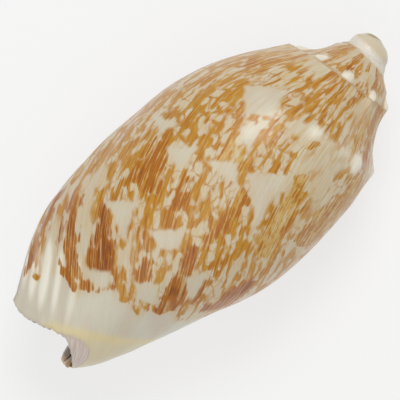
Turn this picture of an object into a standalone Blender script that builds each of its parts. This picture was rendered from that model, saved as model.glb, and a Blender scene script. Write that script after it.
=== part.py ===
"""Volute shell: one closed solid, grown round a vertical axis and then laid down on its aperture.

The shell is worked out in millimetres in its own frame: the axis of coiling is Z, the apex is at the top,
and a point is given by its turn and its depth below the apex. Turn 0 is the edge of the outer lip, and turns
count back from there into the shell, so turn 1 is one whorl older. Every whorl is the same profile at a
smaller size, so the profile is given once, at the lip, as radius over level: the level is the depth below
the point from which the whorls grow.
"""

import math

import bmesh
import bpy
import numpy as np
from mathutils import Matrix

MM = 0.001

# Coiling
GROWTH = 0.575              # natural logarithm of the growth in one turn
ORIGIN_RISE = 6.3           # height of the growth's origin above the top of the shell
SUTURE_LEVEL = 21.6         # where a whorl's outer face starts
COVER_LEVEL = SUTURE_LEVEL * math.exp(GROWTH)   # where the next whorl covers it
APEX_TURN = 3.2

# Outer profile of the last whorl at the lip: level below the origin of growth, radius
PROFILE = (
    (21.6, 14.4),           # suture
    (25.4, 17.6),
    (30.0, 21.1),
    (34.5, 23.7),
    (38.4, 25.6),           # shoulder
    (42.5, 27.1),
    (49.0, 28.7),
    (58.0, 29.5),
    (70.0, 29.9),           # widest
    (79.0, 29.5),
    (87.0, 28.4),
    (96.0, 25.6),
    (104.0, 22.3),
    (120.0, 16.3),
    (128.0, 13.0),
    (136.0, 9.0),
    (144.0, 5.0),
    (154.0, 2.0),
    (230.0, 0.5),
)
RAMP_HOLLOW = ((0.15, 0.0), (0.6, 2.2), (1.1, 3.0), (1.55, 1.5), (1.8, 0.0))
SLIM_TURN = 1.13            # one side of the whorl before the last is drawn in
SLIM_WIDTH = 0.17
SLIM_SHARE = 0.085
PILLAR_LEVELS = (100.0, 118.0)      # where the profile's tail goes over into the columella

# Larval whorls, a smooth dome on top
DOME_RADIUS = 5.1
DOME_HEIGHT = 5.5
DOME_TOP = -1.0
DOME_FROM = -4.2            # straight depth that lands on the pole of the dome
DOME_TO = DOME_TOP + DOME_HEIGHT    # straight depth at its foot
DOME_WHORL = 0.32           # swell of each larval whorl
DOME_FOOT = (3.5, 6.6)      # depths between which the dome goes over into the whorls
LEAN = 0.9                  # shift of its pole off the axis
LEAN_TURN = 0.126           # the side that it leans to
LEAN_DEPTHS = (0.0, 6.0)

# Tubercles on the shoulder
TUBERCLE_TURN = 0.293       # one of them
TUBERCLE_STEP = 0.108
TUBERCLE_HEIGHT = 1.8
TUBERCLE_WIDTH = 0.016
TUBERCLE_ABOVE = 2.0
TUBERCLE_BELOW = 3.8
TUBERCLE_GAIN = (0.12, 1.15)        # turns over which they grow from nothing behind the lip
TUBERCLE_END = (1.65, 1.75)         # turns over which they end on the oldest whorls

# Growth lines: an old lip edge runs back from its plane toward the anterior end
LIP_SWEEP = 0.165
SWEEP_DEPTHS = (36.0, 95.0)
SWEEP_POWER = 1.7
LIP_RIDGES = ((0.022, 0.36), (0.051, 0.55), (0.084, 0.48), (0.122, 0.38), (0.165, 0.22))
LIP_RIDGE_WIDTH = 0.012
RIDGES_START = (30.0, 60.0)         # depths over which they rise, and over which they end
RIDGES_END = (86.0, 95.0)

# The lower part of the lip opens outward a little
FLARE = 0.9
FLARE_TURNS = 0.055
FLARE_DEPTHS = (64.0, 88.0)

# Anterior edge: turn, depth below the apex
MARGIN = (
    (0.0, 85.8), (0.08, 89.0), (0.12, 92.6), (0.15, 95.7), (0.19, 97.0), (0.25, 95.9), (0.30, 94.3),
    (0.335, 93.8), (0.36, 94.7), (0.40, 96.6), (0.44, 97.6), (0.48, 98.0), (0.60, 98.4), (0.80, 98.5),
    (3.0, 98.5),
)
TIP_DEPTH = 99.0
EDGE_DEPTH = 98.5           # deepest point of the anterior edge
NOTCH_END = 0.48            # turn at which the canal closes on the columella
CLOSING = 0.12              # turns that the closing takes on either side
NOSE_DEPTH = 91.5           # depth below which the end behind the canal rounds in
NOSE_LENGTH = 7.1
NOSE_SHARE = 0.8
NOSE_POWER = 2.2
NOSE_TURNS = (0.34, 0.5)    # turns over which this rounding comes in

# Columella
PILLAR_TIP = 2.3
PILLAR_TOP = 4.7
PILLAR_DEPTHS = (97.0, 72.0)
PLAIT_LEVELS = (121.0, 131.0, 140.5, 149.5)
PLAIT_HEIGHT = 0.9
PLAIT_WIDTH = 2.6
PLAIT_TURNS = (0.90, 0.98)
PLAIT_DEPTHS = (55.0, 60.0)

# Cavity
WALL = 1.7
CLEAR = 0.3                 # least width of the cavity
EDGE_PROUD = 0.28           # rounding of the lip's edge
POSTERIOR_LEVEL = 48.0      # level of the aperture's upper corner on the whorl before
CORNER_SHARE = 0.16         # share of the cavity's height in which its upper corner opens out
ROUND_FROM = 0.8            # share of its height where its floor starts to round
CAVITY_TURNS = 0.86
CAVITY_FLOOR = ((0.0, 98.5), (0.36, 98.4), (0.48, 98.0), (0.56, 92.5), (0.70, 82.0), (0.90, 68.0))
THIN_EDGE = 0.7             # share of the wall that is left where the canal closes
THIN_FROM = 0.7             # share of the height from which it thins

# Mesh
FINE_TURN = 0.2             # the part of each turn that holds the lip's ridges has more columns
FINE_COLUMNS = 18
PLAIN_COLUMNS = 40
TURN_COLUMNS = FINE_COLUMNS + PLAIN_COLUMNS
RAMP_ROWS = 6
SIDE_ROWS = 20
CORNER_ROWS = 2             # rows of the last column that are the lip's upper corner
CORNER_TURNS = (0.5, 1.0)   # turns over which the rows go over to that column's
LIP_TURNING = (3, 4)        # rows before the lower corner where the edge turns to face down, rows it takes

# How it lies: turn that faces the floor, and lift of the apex
FLOOR_TURN = 0.8628
APEX_LIFT = math.radians(1.45)
WORN = 0.25                 # depth of the worn flats that it rests on


def smooth(start, end, value):
    """Rise from 0 at start to 1 at end, level at both."""
    part = np.clip((value - start) / (end - start), 0.0, 1.0)
    return part * part * (3.0 - 2.0 * part)


def curve(points, value):
    """Read a smooth curve through the given points."""
    knots, heights = np.array(points, float).T
    spans = np.diff(knots)
    slopes = np.diff(heights) / spans
    tangents = np.empty_like(heights)
    tangents[0], tangents[-1] = slopes[0], slopes[-1]
    tangents[1:-1] = (slopes[1:] * spans[:-1] + slopes[:-1] * spans[1:]) / (spans[1:] + spans[:-1])
    value = np.clip(value, knots[0], knots[-1])
    index = np.clip(np.searchsorted(knots, value) - 1, 0, len(knots) - 2)
    span = spans[index]
    part = (value - knots[index]) / span
    square, cube = part * part, part * part * part
    return ((2 * cube - 3 * square + 1) * heights[index]
            + (cube - 2 * square + part) * span * tangents[index]
            + (3 * square - 2 * cube) * heights[index + 1]
            + (cube - square) * span * tangents[index + 1])


def scale(turn):
    """Size of the whorl at a turn, with 1 at the lip."""
    return np.exp(-GROWTH * turn)


def tubercles(turn, level):
    """Height of the shoulder's tubercles, strong on the older whorls and faint near the lip."""
    step = (turn - TUBERCLE_TURN) / TUBERCLE_STEP
    off = (step - np.round(step)) * TUBERCLE_STEP
    height = TUBERCLE_HEIGHT * np.sqrt(scale(turn)) * smooth(*TUBERCLE_GAIN, turn)
    height = height * (1 - smooth(*TUBERCLE_END, turn))
    reach = np.where(level < COVER_LEVEL, TUBERCLE_ABOVE, TUBERCLE_BELOW)
    return height * np.exp(-(off / TUBERCLE_WIDTH) ** 2 - ((level - COVER_LEVEL) / reach) ** 2)


def lip_ridges(turn, depth):
    """Raised growth lines beside the lip, strongest on its lower half."""
    grown = turn - sweep(depth)
    total = 0.0
    for at, height in LIP_RIDGES:
        total = total + height * np.exp(-((grown - at) / LIP_RIDGE_WIDTH) ** 2)
    return total * smooth(*RIDGES_START, depth) * (1 - smooth(*RIDGES_END, depth))


def flare(turn, depth):
    """Height by which the lip opens outward on its lower part."""
    grown = np.maximum(turn - sweep(depth), 0.0)
    return FLARE * np.exp(-(grown / FLARE_TURNS) ** 2) * smooth(*FLARE_DEPTHS, depth)


def sweep(depth):
    """Turns by which a growth line has run back at a depth."""
    start, end = SWEEP_DEPTHS
    return LIP_SWEEP * np.clip((depth - start) / (end - start), 0.0, 1.0) ** SWEEP_POWER


def pillar(depth):
    """Radius of the columella."""
    return PILLAR_TIP + (PILLAR_TOP - PILLAR_TIP) * smooth(*PILLAR_DEPTHS, depth)


def outside(turn, level, ridged=True):
    """Radius and depth of the outer face at a turn and a level, with or without the lip's ridges."""
    turn, level = np.broadcast_arrays(np.asarray(turn, float), np.asarray(level, float))
    size = scale(turn)
    straight = size * level - ORIGIN_RISE
    ramp = np.clip((level - SUTURE_LEVEL) / (COVER_LEVEL - SUTURE_LEVEL), 0.0, 1.0)
    swell = np.sin(np.pi * ramp)
    slim = 1 - SLIM_SHARE * np.exp(-((turn - SLIM_TURN) / SLIM_WIDTH) ** 2)
    radius = size * slim * (curve(PROFILE, level) - curve(RAMP_HOLLOW, turn) * swell)
    radius = radius + tubercles(turn, level) + tubercles(turn + 1, COVER_LEVEL) * (1 - ramp) ** 3

    polar = 0.5 * np.pi * np.clip((straight - DOME_FROM) / (DOME_TO - DOME_FROM), 0.0, 1.0)
    dome = DOME_RADIUS * np.sin(polar) + DOME_WHORL * swell
    radius = dome + (radius - dome) * smooth(*DOME_FOOT, straight)
    depth = np.where(straight < DOME_TO, DOME_TOP + DOME_HEIGHT * (1 - np.cos(polar)), straight)

    tail = smooth(*PILLAR_LEVELS, level)
    radius = (1 - tail) * radius + tail * (radius ** 4 + pillar(depth) ** 4) ** 0.25
    end = np.clip((depth - NOSE_DEPTH) / NOSE_LENGTH, 0.0, 1.0)
    radius = radius * (1 - smooth(*NOSE_TURNS, turn) * (1 - np.sqrt(1 - NOSE_SHARE * end ** NOSE_POWER)))
    radius = radius + flare(turn, depth)
    return radius + (lip_ridges(turn, depth) if ridged else 0.0), depth


def level_of(turn, depth):
    """Level that lies at a depth, below the dome."""
    return (depth + ORIGIN_RISE) / scale(turn)


def plaits(turn, level):
    """Oblique folds of the columella, which fade out before they leave the aperture."""
    total = 0.0
    for at in PLAIT_LEVELS:
        total = total + np.exp(-((level - at) / PLAIT_WIDTH) ** 2)
    return PLAIT_HEIGHT * total * smooth(*PLAIT_TURNS, turn)


def inside(turn, depth):
    """Radius of the wall between the cavity and the whorl before it."""
    level = level_of(turn, depth)
    return outside(turn, level)[0] + plaits(turn, level) * smooth(*PLAIT_DEPTHS, depth)


class Builder:
    """Collects points and faces in millimetres."""

    def __init__(self):
        self.points = []
        self.faces = []

    def point(self, turn, radius, depth):
        """Add one point and return its number."""
        angle = 2 * math.pi * turn
        lean = LEAN * (1 - float(smooth(*LEAN_DEPTHS, depth)))
        toward = 2 * math.pi * LEAN_TURN
        x = radius * math.cos(angle) + lean * math.cos(toward)
        y = radius * math.sin(angle) + lean * math.sin(toward)
        self.points.append((x, y, -depth))
        return len(self.points) - 1

    def face(self, *corners):
        """Add one face, leaving out corners that fall together."""
        kept = []
        for corner in corners:
            if corner not in kept:
                kept.append(corner)
        if len(kept) > 2:
            self.faces.append(kept)

    def strip(self, first, second):
        """Join two rows of points of the same length."""
        for here in range(len(first) - 1):
            self.face(first[here], second[here], second[here + 1], first[here + 1])


def turn_of(number):
    """Turn of a column, counted from the lip."""
    whole, rest = divmod(number, TURN_COLUMNS)
    fine = min(rest, FINE_COLUMNS) / FINE_COLUMNS
    plain = max(rest - FINE_COLUMNS, 0) / PLAIN_COLUMNS
    return whole + FINE_TURN * fine + (1 - FINE_TURN) * plain


def number_of(turn):
    """Column nearest to a turn."""
    whole = int(turn)
    rest = turn - whole
    fine = min(rest / FINE_TURN, 1.0) * FINE_COLUMNS
    plain = max((rest - FINE_TURN) / (1 - FINE_TURN), 0.0) * PLAIN_COLUMNS
    return whole * TURN_COLUMNS + round(fine + plain)


def run_back(turn):
    """Share of a growth line's sweep that a column follows, whole at the lip and none past the notch."""
    return 1 - float(smooth(0.0, NOTCH_END, turn)) if turn < NOTCH_END else 0.0


def anterior_edge(turn):
    """Depth of the anterior edge at a column."""
    return float(curve(MARGIN, turn + LIP_SWEEP * run_back(turn)))


def outer_columns(build):
    """Lay out the outer face as columns of points, each from its suture down."""
    per_turn = TURN_COLUMNS
    count = number_of(APEX_TURN)
    ramp = np.linspace(0.0, 1.0, RAMP_ROWS + 1)
    columns = {}
    for number in range(count, -1, -1):
        turn = turn_of(number)
        levels = SUTURE_LEVEL + (COVER_LEVEL - SUTURE_LEVEL) * ramp
        column = []
        if number + per_turn in columns:
            column.append(columns[number + per_turn][RAMP_ROWS])
            levels = levels[1:]
        radii, depths = outside(turn, levels)
        for radius, depth in zip(radii, depths):
            column.append(build.point(turn, float(radius), float(depth)))
        if number <= per_turn:
            column += side_points(build, turn)
        columns[number] = column
    return columns, count


def side_points(build, turn):
    """Points of one column from the shoulder down to the anterior edge."""
    top = scale(turn) * COVER_LEVEL - ORIGIN_RISE
    end = anterior_edge(turn)
    column = []
    for row in range(1, SIDE_ROWS + 1):
        depth = top + (end - top) * side_share(turn, row)
        swept = turn + sweep(depth) * run_back(turn)
        radius = outside(swept, level_of(swept, depth))[0]
        column.append(build.point(float(swept), float(radius), float(depth)))
    return column


def side_share(turn, row):
    """Share of the side's height at a row; the first rows of the last column are the lip's corner."""
    even = row / SIDE_ROWS
    top = scale(turn) * COVER_LEVEL - ORIGIN_RISE
    corner = (scale(turn) * POSTERIOR_LEVEL - ORIGIN_RISE - top) / (EDGE_DEPTH - top)
    late = corner * row / CORNER_ROWS
    if row >= CORNER_ROWS:
        late = corner + (1 - corner) * (row - CORNER_ROWS) / (SIDE_ROWS - CORNER_ROWS)
    return even + (late - even) * float(smooth(*CORNER_TURNS, turn))


def cavity_column(build, number, lead):
    """Points of the cavity at one column: the lip side from its edge up, then the columella side down."""
    turn = turn_of(number)
    rows = RAMP_ROWS + SIDE_ROWS
    top = scale(turn + 1) * POSTERIOR_LEVEL - ORIGIN_RISE
    floor = float(curve(CAVITY_FLOOR, turn))
    closed = turn > NOTCH_END
    end = floor if closed else anterior_edge(turn)
    edge = float(outside(turn, level_of(turn, min(end, EDGE_DEPTH)))[0])
    shut = float(smooth(NOTCH_END - CLOSING, NOTCH_END, turn))
    shut *= 1 - float(smooth(NOTCH_END, NOTCH_END + CLOSING, turn))
    post = float(inside(turn + 1, floor))
    thick = WALL * (1 - (1 - THIN_EDGE) * shut)
    foot = post + max(edge - thick - CLEAR - post, 0.0) * shut

    lip_side = []
    for row in range(rows, 0, -1):
        share = row / rows
        depth = top + (end - top) * share
        swept = turn + sweep(depth) * run_back(turn)
        outer = float(outside(swept, level_of(swept, depth), ridged=False)[0])
        inner = float(inside(swept + 1, depth))
        opening = math.sin(0.5 * math.pi * min(share / CORNER_SHARE, 1.0))
        wall = WALL + (thick - WALL) * float(smooth(THIN_FROM, 1.0, share))
        radius = inner + max(outer - wall - inner, CLEAR) * opening
        if closed:
            near = max(0.0, (share - ROUND_FROM) / (1 - ROUND_FROM))
            radius = foot + (radius - foot) * math.sqrt(max(0.0, 1 - near * near))
        lip_side.append((swept, radius, depth))
    post_side = []
    for row in range(CORNER_ROWS, SIDE_ROWS + 1):
        share = (row - CORNER_ROWS) / (SIDE_ROWS - CORNER_ROWS)
        depth = top + (floor - top) * share
        radius = float(inside(turn + 1, depth))
        radius += (foot - radius) * float(smooth(ROUND_FROM, 1.0, share)) * (shut > 0)
        post_side.append((turn + 1, radius, depth))

    if number == 0:
        posts = lead[RAMP_ROWS + CORNER_ROWS:]
    else:
        posts = [build.point(*place) for place in post_side]
    lips = [build.point(*place) for place in lip_side[0 if not closed else 1:]]
    if closed:
        lips.insert(0, posts[-1])
    return lips, posts


def make_mesh():
    """Build the whole skin of the shell: outer face, lip, cavity and tip."""
    build = Builder()
    columns, count = outer_columns(build)
    per_turn = TURN_COLUMNS
    rows = RAMP_ROWS + SIDE_ROWS

    for number in range(count):
        here, there = columns[number], columns[number + 1]
        for row in range(min(len(here), len(there)) - 1):
            build.face(here[row], here[row + 1], there[row + 1], there[row])

    summit = build.point(0.0, 0.0, DOME_TOP)
    ring = [columns[number][0] for number in range(count - per_turn, count + 1)]
    ring += columns[count][1:RAMP_ROWS + 1]
    for here in range(len(ring) - 1):
        build.face(summit, ring[here], ring[here + 1])

    notch = number_of(NOTCH_END)
    last = number_of(CAVITY_TURNS)
    lips, posts = {}, {}
    for number in range(last + 1):
        lips[number], posts[number] = cavity_column(build, number, columns[per_turn])
    pinch = columns[notch][rows]
    lips[notch][0] = pinch
    posts[notch][-1] = pinch
    for number in range(last):
        build.strip(lips[number] + posts[number], lips[number + 1] + posts[number + 1])
    loop = lips[last] + posts[last]
    build.face(*loop)

    edge = columns[0][0:rows + 1] + [columns[number][rows] for number in range(1, notch + 1)]
    inner = [posts[0][0]] + lips[0][::-1] + [lips[number][0] for number in range(1, notch + 1)]
    middle = rim_middle(build, edge, inner, columns[per_turn][RAMP_ROWS + 1])
    build.strip(edge, middle)
    build.strip(middle, inner)

    tip = build.point(0.0, 0.0, TIP_DEPTH)
    foot = [posts[number][-1] for number in range(notch)]
    foot += [columns[number][rows] for number in range(notch, per_turn)]
    for here in range(len(foot)):
        build.face(tip, foot[here], foot[(here + 1) % len(foot)])
    return build


def rim_middle(build, edge, inner, corner):
    """Points along the middle of the lip's edge, a little proud of it, so that the edge is rounded."""
    rows = RAMP_ROWS + SIDE_ROWS
    middle = [corner]
    for here in range(1, len(edge)):
        if edge[here] == inner[here]:
            middle.append(edge[here])
            continue
        x, y, z = (np.array(build.points[edge[here]]) + np.array(build.points[inner[here]])) / 2
        down = min(1.0, max(0.0, (here - rows + LIP_TURNING[0]) / LIP_TURNING[1]))
        radius = math.hypot(x, y)
        angle = math.atan2(y, x) - (1 - down) * EDGE_PROUD / radius
        middle.append(build.point(angle / (2 * math.pi), radius, down * EDGE_PROUD - z))
    return middle


def lay_down():
    """Turn from the upright frame to the shell lying on its aperture, apex toward +X."""
    face_floor = Matrix.Rotation(-2 * math.pi * FLOOR_TURN, 4, "Z")
    tip_over = Matrix.Rotation(math.radians(90.0) - APEX_LIFT, 4, "Y")
    return tip_over @ face_floor


def rest_on_floor(mesh_data):
    """Bring the lowest point to the floor, wear the flats, and centre the shell over the origin."""
    lowest = min(vertex.co.z for vertex in mesh_data.verts)
    cut = lowest + WORN * MM
    everything = mesh_data.verts[:] + mesh_data.edges[:] + mesh_data.faces[:]
    worn = bmesh.ops.bisect_plane(mesh_data, geom=everything, dist=1e-7, plane_co=(0, 0, cut),
                                  plane_no=(0, 0, -1), clear_outer=True)
    rims = [item for item in worn["geom_cut"] if isinstance(item, bmesh.types.BMEdge)]
    filled = bmesh.ops.holes_fill(mesh_data, edges=rims, sides=0)
    bmesh.ops.triangulate(mesh_data, faces=filled["faces"])
    low = [min(vertex.co[axis] for vertex in mesh_data.verts) for axis in range(3)]
    high = [max(vertex.co[axis] for vertex in mesh_data.verts) for axis in range(3)]
    middle = ((low[0] + high[0]) / 2, (low[1] + high[1]) / 2, cut)
    bmesh.ops.translate(mesh_data, verts=mesh_data.verts, vec=[-value for value in middle])


def shell_material():
    """Glossy cream shell."""
    material = bpy.data.materials.new("shell")
    material.use_nodes = True
    shader = material.node_tree.nodes["Principled BSDF"]
    shader.inputs["Base Color"].default_value = (0.68, 0.50, 0.30, 1.0)
    shader.inputs["Roughness"].default_value = 0.3
    shader.inputs["Metallic"].default_value = 0.0
    return material


def make_shell():
    """Make the shell object."""
    build = make_mesh()
    data = bpy.data.meshes.new("shell")
    data.from_pydata([tuple(MM * value for value in point) for point in build.points], [], build.faces)
    solid = bmesh.new()
    solid.from_mesh(data)
    loose = [vertex for vertex in solid.verts if not vertex.link_faces]
    bmesh.ops.delete(solid, geom=loose, context="VERTS")
    bmesh.ops.triangulate(solid, faces=solid.faces)
    bmesh.ops.recalc_face_normals(solid, faces=solid.faces)
    bmesh.ops.transform(solid, matrix=lay_down(), verts=solid.verts)
    rest_on_floor(solid)
    solid.to_mesh(data)
    solid.free()
    data.shade_smooth()
    data.set_sharp_from_angle(angle=math.radians(40.0))
    data.materials.append(shell_material())
    shell = bpy.data.objects.new("shell", data)
    bpy.context.scene.collection.objects.link(shell)
    return shell


def main():
    """Clear the scene and build the part."""
    for thing in list(bpy.data.objects):
        bpy.data.objects.remove(thing)
    make_shell()


main()
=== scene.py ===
"""Looks of a volute shell that lies on its mouth.

The shell is one piece. Its skin is worked out as the solid's is, from one profile that every whorl repeats at
its own size, with many more points, and its markings follow the growth of the shell: they are placed by the
turn, counted back from the lip, and by the level, which is how far below the spiral's origin a point of the
profile lies when it is at the lip. Lengths in the shell's classes are millimetres of the upright shell; those
of the studio are metres, but for the place that the camera aims at.
"""

import logging
import math
from dataclasses import dataclass, field
from enum import IntEnum
from typing import Dict, Iterator, List, Sequence, Tuple

import bmesh
import bpy
import numpy as np
from mathutils import Matrix, Vector


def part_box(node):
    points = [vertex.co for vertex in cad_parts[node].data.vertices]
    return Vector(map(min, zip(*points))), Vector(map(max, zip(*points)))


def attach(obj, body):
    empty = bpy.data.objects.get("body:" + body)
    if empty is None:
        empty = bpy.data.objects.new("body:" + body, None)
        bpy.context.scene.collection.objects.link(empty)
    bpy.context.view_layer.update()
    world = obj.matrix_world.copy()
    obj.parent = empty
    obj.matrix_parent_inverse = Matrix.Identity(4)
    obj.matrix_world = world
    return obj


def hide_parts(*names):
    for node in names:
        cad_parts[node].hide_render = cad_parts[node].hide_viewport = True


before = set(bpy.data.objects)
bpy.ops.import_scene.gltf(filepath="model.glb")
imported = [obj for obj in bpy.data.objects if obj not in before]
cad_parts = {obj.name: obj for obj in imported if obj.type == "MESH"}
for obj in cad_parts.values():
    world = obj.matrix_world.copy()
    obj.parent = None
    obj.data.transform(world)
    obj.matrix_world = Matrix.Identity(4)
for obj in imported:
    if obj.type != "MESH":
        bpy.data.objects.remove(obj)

Rgba = Tuple[float, float, float, float]
Triple = Tuple[float, float, float]
Span = Tuple[float, float]
Curve = Tuple[Span, ...]
Socket = bpy.types.NodeSocket

MM = 0.001
RELIEF = 0.2 * MM


class Zone(IntEnum):
    """Parts of the skin that wear their own finish."""

    OUTSIDE = 0
    MOUTH = 1


def smooth(start: float, end: float, value: np.ndarray) -> np.ndarray:
    """Rise from 0 at start to 1 at end, level at both."""
    part = np.clip((value - start) / (end - start), 0.0, 1.0)
    return part * part * (3.0 - 2.0 * part)


def curve(points: Curve, value: np.ndarray) -> np.ndarray:
    """Read a smooth curve through given points.

    Args:
        points: Pairs of place and height, in order of place.
        value: Places to read at.

    Returns:
        The heights there.
    """
    knots, heights = np.array(points, float).T
    spans = np.diff(knots)
    slopes = np.diff(heights) / spans
    tangents = np.empty_like(heights)
    tangents[0], tangents[-1] = slopes[0], slopes[-1]
    tangents[1:-1] = (slopes[1:] * spans[:-1] + slopes[:-1] * spans[1:]) / (spans[1:] + spans[:-1])
    value = np.clip(value, knots[0], knots[-1])
    index = np.clip(np.searchsorted(knots, value) - 1, 0, len(knots) - 2)
    span = spans[index]
    part = (value - knots[index]) / span
    square, cube = part * part, part * part * part
    return ((2 * cube - 3 * square + 1) * heights[index]
            + (cube - 2 * square + part) * span * tangents[index]
            + (3 * square - 2 * cube) * heights[index + 1]
            + (cube - square) * span * tangents[index + 1])


def linear(red: int, green: int, blue: int) -> Rgba:
    """Turn a colour as a screen shows it, 0 to 255, into the renderer's values."""
    def channel(value: int) -> float:
        """Undo the screen's curve for one channel."""
        share = value / 255
        return share / 12.92 if share <= 0.04045 else ((share + 0.055) / 1.055) ** 2.4
    return channel(red), channel(green), channel(blue), 1.0


def set_inputs(node: bpy.types.Node, values: Dict[object, object]) -> None:
    """Set a node's inputs to constants, by name or number."""
    for name, value in values.items():
        node.inputs[name].default_value = value


def new_shader(name: str) -> Tuple[bpy.types.Material, bpy.types.Node]:
    """Make a material and return it with its shader."""
    made = bpy.data.materials.new(name)
    made.use_nodes = True
    return made, made.node_tree.nodes["Principled BSDF"]


def new_object(name: str, data: bpy.types.ID) -> bpy.types.Object:
    """Put a new object into the scene."""
    made = bpy.data.objects.new(name, data)
    bpy.context.scene.collection.objects.link(made)
    return made


@dataclass
class ShellForm:
    """Shape of the shell's faces, in millimetres, with turns counted back from the lip.

    A span holds the places where something starts and ends its rise or its fading.
    """

    growth: float = 0.575
    origin_rise: float = 6.3
    suture_level: float = 21.6
    apex_turn: float = 3.2
    profile: Curve = (
        (21.6, 14.4), (25.4, 17.6), (30.0, 21.1), (34.5, 23.7), (38.4, 25.6), (42.5, 27.1), (49.0, 28.7),
        (58.0, 29.5), (70.0, 29.9), (79.0, 29.5), (87.0, 28.4), (96.0, 25.6), (104.0, 22.3), (120.0, 16.3),
        (128.0, 13.0), (136.0, 9.0), (144.0, 5.0), (154.0, 2.0), (230.0, 0.5),
    )
    ramp_hollow: Curve = ((0.15, 0.0), (0.6, 2.2), (1.1, 3.0), (1.55, 1.5), (1.8, 0.0))
    tail: Span = (100.0, 118.0)
    nose_turns: Span = (0.34, 0.5)
    nose_from: float = 91.5
    nose_length: float = 7.1
    nose_share: float = 0.8
    nose_power: float = 2.2
    slim_turn: float = 1.13
    slim_width: float = 0.17
    slim_share: float = 0.085
    dome_radius: float = 5.1
    dome_height: float = 5.5
    dome_top: float = -1.0
    dome_from: float = -4.2
    dome_to: float = 4.5
    dome_whorl: float = 0.32
    dome_foot: Span = (3.5, 6.6)
    lean: float = 0.9
    lean_turn: float = 0.126
    lean_fade: Span = (0.0, 6.0)
    tubercle_turn: float = 0.293
    tubercle_step: float = 0.108
    tubercle_height: float = 2.1
    tubercle_width: float = 0.014
    tubercle_above: float = 2.0
    tubercle_below: float = 3.8
    tubercle_rise: float = 1.3
    tubercle_strong: Span = (0.12, 1.15)
    tubercle_gone: Span = (1.65, 1.75)
    tubercle_older: Span = (0.7, 1.0)
    lip_sweep: float = 0.165
    sweep_from: float = 36.0
    sweep_to: float = 95.0
    sweep_power: float = 1.7
    line_sweep: float = 0.19
    line_from: float = 40.0
    line_length: float = 75.0
    line_limit: float = 1.4
    lip_ridges: Curve = ((0.022, 0.36), (0.051, 0.55), (0.084, 0.48), (0.122, 0.38), (0.165, 0.22))
    ridge_width: float = 0.012
    ridge_start: Span = (30.0, 60.0)
    ridge_end: Span = (88.0, 97.0)
    undulation: float = 0.07
    swell_waves: Triple = (97.0, 13.0, 31.0)
    swell_start: Span = (14.0, 30.0)
    swell_end: Span = (88.0, 95.0)
    flare: float = 0.9
    flare_turns: float = 0.055
    flare_rise: Span = (64.0, 88.0)
    margin: Curve = (
        (0.0, 85.8), (0.08, 89.0), (0.12, 92.6), (0.15, 95.7), (0.19, 97.0), (0.25, 95.9), (0.30, 94.3),
        (0.335, 93.8), (0.36, 94.7), (0.40, 96.6), (0.44, 97.6), (0.48, 98.0), (0.60, 98.4), (0.80, 98.5),
        (3.0, 98.5),
    )
    band_edge: Curve = (
        (0.28, 96.0), (0.31, 94.3), (0.35, 92.3), (0.376, 91.8), (0.40, 92.1), (0.42, 93.2), (0.435, 95.5),
        (0.46, 99.0),
    )
    band_depth: float = 0.22
    band_turns: Span = (0.28, 0.46)
    band_soft: float = 0.25
    ragged: float = 0.12
    ragged_waves: Triple = (210.0, 67.0, 431.0)
    ragged_end: Span = (0.45, 0.30)
    edge_depth: float = 98.5
    edge_read: float = 98.0
    tip_depth: float = 99.0
    notch_end: float = 0.48
    closing: float = 0.12
    pillar_tip: float = 2.3
    pillar_top: float = 4.7
    pillar_rise: Span = (97.0, 72.0)
    plait_levels: Tuple[float, ...] = (121.0, 131.0, 140.5, 149.5)
    plait_height: float = 0.9
    plait_width: float = 2.6
    plait_turns: Span = (0.90, 0.98)
    plait_start: Span = (55.0, 60.0)
    wall: float = 1.7
    clear: float = 0.3
    posterior_level: float = 48.0
    corner_share: float = 0.16
    round_from: float = 0.8
    cavity_turns: float = 0.86
    cavity_floor: Curve = ((0.0, 98.5), (0.36, 98.4), (0.48, 98.0), (0.56, 92.5), (0.70, 82.0), (0.90, 68.0))
    thin_edge: float = 0.7
    thin_shares: Span = (0.7, 1.0)
    edge_proud: float = 0.28
    proud_power: float = 0.7

    @property
    def cover_level(self) -> float:
        """Level at which the next whorl covers a whorl."""
        return self.suture_level * math.exp(self.growth)

    def scale(self, turn: np.ndarray) -> np.ndarray:
        """Size of the whorl at a turn, with 1 at the lip."""
        return np.exp(-self.growth * turn)

    def level_of(self, turn: np.ndarray, depth: np.ndarray) -> np.ndarray:
        """Level that lies at a depth, below the dome."""
        return (depth + self.origin_rise) / self.scale(turn)

    def tubercles(self, turn: np.ndarray, level: np.ndarray) -> np.ndarray:
        """Height of the shoulder's tubercles, strong on the older whorls and faint near the lip."""
        step = (turn - self.tubercle_turn) / self.tubercle_step
        off = (step - np.round(step)) * self.tubercle_step
        height = self.tubercle_height * np.sqrt(self.scale(turn)) * smooth(*self.tubercle_strong, turn)
        height = height * (1 - smooth(*self.tubercle_gone, turn))
        middle = self.cover_level - self.tubercle_rise * smooth(*self.tubercle_older, turn)
        reach = np.where(level < middle, self.tubercle_above, self.tubercle_below)
        return height * np.exp(-(off / self.tubercle_width) ** 2 - ((level - middle) / reach) ** 2)

    def sweep(self, depth: np.ndarray) -> np.ndarray:
        """Turns by which a growth line has run back at a depth."""
        share = np.clip((depth - self.sweep_from) / (self.sweep_to - self.sweep_from), 0.0, 1.0)
        return self.lip_sweep * share ** self.sweep_power

    def grown(self, turn: np.ndarray, level: np.ndarray) -> np.ndarray:
        """Turn at which a point's growth line starts at the suture."""
        share = np.clip((level - self.line_from) / self.line_length, 0.0, self.line_limit)
        return turn - self.line_sweep * share ** self.sweep_power

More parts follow.
